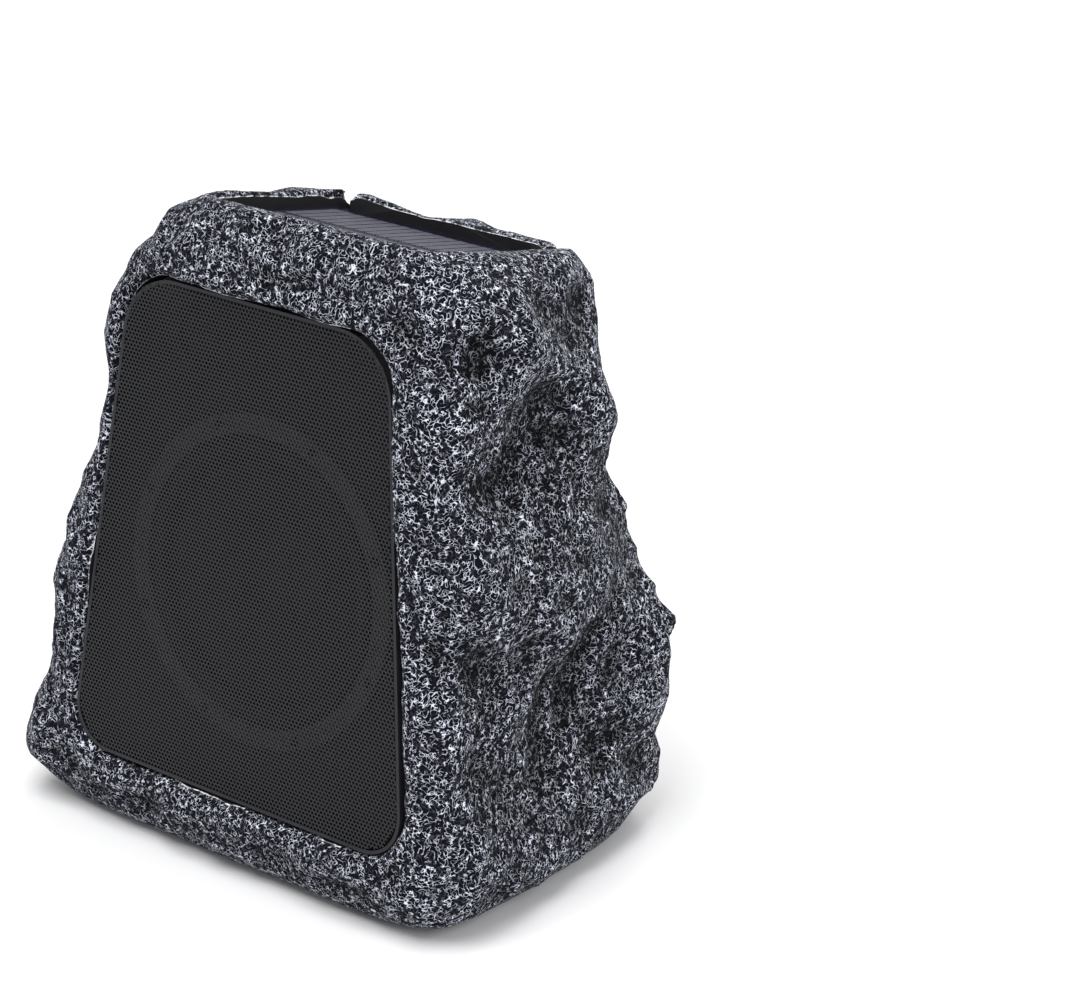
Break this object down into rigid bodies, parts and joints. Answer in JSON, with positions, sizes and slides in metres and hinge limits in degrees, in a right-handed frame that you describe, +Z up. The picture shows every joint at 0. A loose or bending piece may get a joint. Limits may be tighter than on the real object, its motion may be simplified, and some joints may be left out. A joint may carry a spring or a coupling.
{
  "type": "rock shaped garden speaker",
  "caption": "Free-standing outdoor loudspeaker moulded as a dark craggy rock, with a perforated front grille, a solar panel let into its top and a control plate on its back.",
  "frame": {"origin": "on the floor below the middle of the rock's outline box", "axes": "+Z up, -Y the way the grille faces, +X to the right seen from the front"},
  "size_m": [0.236, 0.166, 0.262],
  "materials": {
    "rock_resin": "dark charcoal resin, dry-brushed pale grey on its ridges",
    "grille_black": "black painted perforated sheet",
    "baffle_black": "black moulded board",
    "soft_seal": "black closed-cell seal",
    "basket_black": "black pressed frame",
    "edge_rubber": "black rubber half roll",
    "trim_grey": "satin grey ring",
    "cone_grey": "dark pressed paper",
    "cap_grey": "satin dark cap",
    "coil_copper": "copper winding",
    "spider_cloth": "resin-dipped cloth",
    "plated_steel": "zinc plated",
    "ferrite": "dark sintered ferrite",
    "tweeter_black": "black moulded flange",
    "dome_silk": "coated cloth",
    "solar_clear": "clear laminate",
    "solar_blue": "dark blue silicon",
    "board_dark": "dark laminate board",
    "board_green": "green circuit board",
    "control_grey": "matt dark grey moulding",
    "button_grey": "matt dark grey soft button",
    "screw_black": "black screw",
    "lamp_clear": "clear light pipe",
    "lamp_white": "white lamp body",
    "switch_body": "black switch body",
    "port_steel": "plated socket shell",
    "base_black": "black moulded plate",
    "foot_rubber": "black rubber",
    "holder_black": "black moulded tray",
    "cell_wrap": "shrunk blue sleeve",
    "heatsink_alloy": "plain extruded alloy",
    "capacitor_can": "sleeved can",
    "shield_tin": "tinned shield",
    "connector_cream": "cream moulded socket"
  },
  "bodies": {
    "housing": {"rock_shell": "rock_resin", "grille": "grille_black", "baffle": "baffle_black", "baffle_gasket": "soft_seal", "woofer_basket": "basket_black", "woofer_gasket": "soft_seal", "woofer_surround": "edge_rubber", "woofer_trim_ring": "trim_grey", "woofer_spider": "spider_cloth", "woofer_top_plate": "plated_steel", "woofer_magnet": "ferrite", "woofer_back_plate": "plated_steel", "tweeter_faceplate": "tweeter_black", "tweeter_suspension": "soft_seal", "tweeter_magnet": "plated_steel", "solar_cover": "solar_clear", "solar_cells": "solar_blue", "solar_board": "board_dark", "solar_foam": "soft_seal", "control_plate": "control_grey", "control_gasket": "soft_seal", "light_pipes": "lamp_clear", "status_leds": "lamp_white", "button_switches": "switch_body", "charge_port": "port_steel", "control_board": "board_green", "base_plate": "base_black", "base_gasket": "soft_seal", "feet": "foot_rubber", "battery_holder": "holder_black", "battery_cells": "cell_wrap", "amplifier_board": "board_green", "amplifier_heatsink": "heatsink_alloy", "amplifier_capacitors": "capacitor_can", "wireless_module": "shield_tin", "lead_connectors": "connector_cream", "baffle_screws": "screw_black", "woofer_screws": "screw_black", "tweeter_screws": "screw_black", "control_screws": "screw_black", "control_board_screws": "plated_steel", "base_screws": "screw_black", "amplifier_screws": "plated_steel"},
    "woofer_diaphragm": {"woofer_cone": "cone_grey", "woofer_dust_cap": "cap_grey", "woofer_voice_coil": "coil_copper"},
    "tweeter_diaphragm": {"tweeter_dome": "dome_silk"},
    "power_key": {"power_button": "button_grey"},
    "pairing_key": {"pairing_button": "button_grey"},
    "charge_flap": {"charge_port_cover": "button_grey"}
  },
  "joints": [
    {"name": "woofer_stroke", "type": "slide", "parent": "housing", "child": "woofer_diaphragm", "axis": [0, -0.9925, 0.1219], "range_m": [-0.003, 0.003], "stiffness_N_per_m": 1500, "deforming": ["woofer_surround", "woofer_spider"]},
    {"name": "tweeter_stroke", "type": "slide", "parent": "housing", "child": "tweeter_diaphragm", "axis": [0, -0.9925, 0.1219], "range_m": [-0.0003, 0.0003], "stiffness_N_per_m": 800},
    {"name": "power_press", "type": "slide", "parent": "housing", "child": "power_key", "axis": [0, -0.9848, -0.1736], "range_m": [0, 0.0008], "stiffness_N_per_m": 600},
    {"name": "pairing_press", "type": "slide", "parent": "housing", "child": "pairing_key", "axis": [0, -0.9848, -0.1736], "range_m": [0, 0.0008], "stiffness_N_per_m": 600},
    {"name": "charge_flap_hinge", "type": "hinge", "parent": "housing", "child": "charge_flap", "pos_m": [-0.0354, 0.0728, 0.06484], "axis": [0, -0.1736, 0.9848], "range_deg": [0, 110]}
  ]
}
